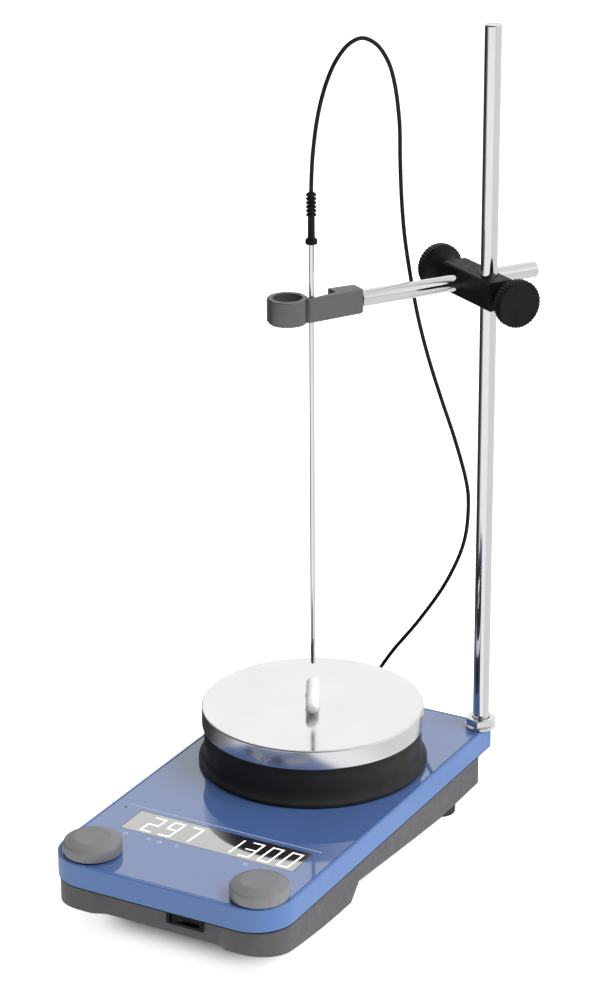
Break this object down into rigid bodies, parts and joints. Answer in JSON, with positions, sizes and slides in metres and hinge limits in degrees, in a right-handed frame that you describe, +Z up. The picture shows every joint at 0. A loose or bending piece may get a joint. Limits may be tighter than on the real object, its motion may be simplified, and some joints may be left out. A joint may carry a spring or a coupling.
{
  "type": "heating magnetic stirrer",
  "caption": "Heating magnetic stirrer: flat body with round hotplate, push-and-turn knobs and display, support rod, boss head, cross arm, ring holder and immersion probe on a cable.",
  "frame": {"origin": "middle of the overall footprint, on the surface that the feet stand on", "axes": "+Z up, front with the knobs towards -Y, support rod at the rear right (+X, +Y)"},
  "size_m": [0.1835, 0.3273, 0.4913],
  "materials": {
    "cover_blue": "satin paint",
    "panel_blue": "high gloss",
    "base_grey": "fine moulded grain",
    "knob_grey": "soft satin",
    "black_plastic": "satin",
    "ring_black": "satin",
    "display_glass": "high gloss",
    "display_face": "matt",
    "plate_alloy": "turned and polished",
    "bright_steel": "polished",
    "plain_steel": "plain",
    "holder_grey": "matt moulded",
    "foot_rubber": "matt",
    "cable_jacket": "satin jacket",
    "board_green": "solder mask",
    "copper_winding": "enamelled wire",
    "magnet_nickel": "nickel plated",
    "white_fluoropolymer": "smooth, waxy",
    "insulation": "pressed mineral board"
  },
  "bodies": {
    "root": {"base_shell": "base_grey", "cover_screw_front_left": "plain_steel", "cover_screw_front_right": "plain_steel", "cover_screw_rear_left": "plain_steel", "cover_screw_rear_right": "plain_steel", "display_module": "display_face", "display_window": "display_glass", "foot_front_left": "foot_rubber", "foot_front_right": "foot_rubber", "foot_rear_left": "foot_rubber", "foot_rear_right": "foot_rubber", "heater_element": "plain_steel", "heating_plate": "plate_alloy", "insulation_disc": "insulation", "left_encoder": "plain_steel", "lower_bearing": "bright_steel", "main_board": "board_green", "mains_inlet": "black_plastic", "motor_end_cap": "plain_steel", "motor_housing": "plain_steel", "motor_screw_1": "plain_steel", "motor_screw_2": "plain_steel", "motor_screw_3": "plain_steel", "plate_standoff_1": "plain_steel", "plate_standoff_2": "plain_steel", "plate_standoff_3": "plain_steel", "plug_boot": "black_plastic", "power_board": "board_green", "probe_cable": "cable_jacket", "probe_plug": "black_plastic", "probe_socket": "plain_steel", "right_encoder": "plain_steel", "ring_housing": "ring_black", "rod_nut": "bright_steel", "stator": "copper_winding", "switch_frame": "black_plastic", "top_cover": "cover_blue", "top_panel": "panel_blue", "upper_bearing": "bright_steel"},
    "rod": {"support_rod": "bright_steel"},
    "boss": {"boss_head": "black_plastic"},
    "arm": {"arm_rod": "bright_steel"},
    "holder": {"probe_holder": "holder_grey"},
    "probe": {"probe_tube": "bright_steel", "probe_boot": "black_plastic"},
    "arm_screw": {"arm_thumbscrew": "black_plastic"},
    "rod_screw": {"rod_thumbscrew": "black_plastic"},
    "left_push": {"left_plunger": "white_fluoropolymer"},
    "left_dial": {"left_knob": "knob_grey", "left_shaft": "plain_steel"},
    "right_push": {"right_plunger": "white_fluoropolymer"},
    "right_dial": {"right_knob": "knob_grey", "right_shaft": "plain_steel"},
    "rocker": {"switch_rocker": "black_plastic"},
    "drive": {"rotor": "magnet_nickel", "motor_shaft": "bright_steel", "magnet_carrier": "plain_steel", "drive_magnet_1": "magnet_nickel", "drive_magnet_2": "magnet_nickel"},
    "stirrer": {"stir_bar": "white_fluoropolymer"}
  },
  "joints": [
    {"name": "rod_swivel", "type": "hinge", "parent": "root", "child": "rod", "pos_m": [0.0554, 0.1102, 0.3329], "axis": [0, 0, 1], "range_deg": [-40, 40], "deforming": ["probe_cable"]},
    {"name": "boss_slide", "type": "slide", "parent": "rod", "child": "boss", "axis": [0, 0, 1], "range_m": [-0.005, 0.14]},
    {"name": "arm_slide", "type": "slide", "parent": "boss", "child": "arm", "axis": [0.5373, 0.8434, 0], "range_m": [-0.03, 0.05]},
    {"name": "holder_roll", "type": "hinge", "parent": "arm", "child": "holder", "pos_m": [0.03634, 0.12234, 0.3329], "axis": [0.5373, 0.8434, 0], "range_deg": [-20, 20]},
    {"name": "probe_slide", "type": "slide", "parent": "holder", "child": "probe", "axis": [0, 0, 1], "range_m": [-0.005, 0.12]},
    {"name": "arm_screw_turn", "type": "hinge", "parent": "boss", "child": "arm_screw", "pos_m": [0.03634, 0.12234, 0.3329], "axis": [-0.8434, 0.5373, 0], "range_deg": [0, 360]},
    {"name": "rod_screw_turn", "type": "hinge", "parent": "boss", "child": "rod_screw", "pos_m": [0.03634, 0.12234, 0.3329], "axis": [0.8434, -0.5373, 0], "range_deg": [0, 360]},
    {"name": "left_knob_push", "type": "slide", "parent": "root", "child": "left_push", "axis": [0, 0, -1], "range_m": [0, 0.0008], "stiffness_N_per_m": 3000, "springref_m": -0.0006},
    {"name": "left_knob_turn", "type": "hinge", "parent": "left_push", "child": "left_dial", "pos_m": [-0.0686, -0.145, 0.0492], "axis": [0, 0, 1], "continuous": true},
    {"name": "right_knob_push", "type": "slide", "parent": "root", "child": "right_push", "axis": [0, 0, -1], "range_m": [0, 0.0008], "stiffness_N_per_m": 3000, "springref_m": -0.0006},
    {"name": "right_knob_turn", "type": "hinge", "parent": "right_push", "child": "right_dial", "pos_m": [0.0414, -0.145, 0.0492], "axis": [0, 0, 1], "continuous": true},
    {"name": "switch_rock", "type": "hinge", "parent": "root", "child": "rocker", "pos_m": [0, -0.1527, 0.0282], "axis": [0, 0, -1], "range_deg": [0, 16]},
    {"name": "drive_spin", "type": "hinge", "parent": "root", "child": "drive", "pos_m": [-0.016, 0.022, 0.05], "axis": [0, 0, 1], "continuous": true},
    {"name": "stir_bar_spin", "type": "hinge", "parent": "root", "child": "stirrer", "pos_m": [-0.016, 0.022, 0.0898], "axis": [0, 0, 1], "continuous": true}
  ],
  "couplings": [
    {"joint": "stir_bar_spin", "follows": "drive_spin", "ratio": 1}
  ]
}
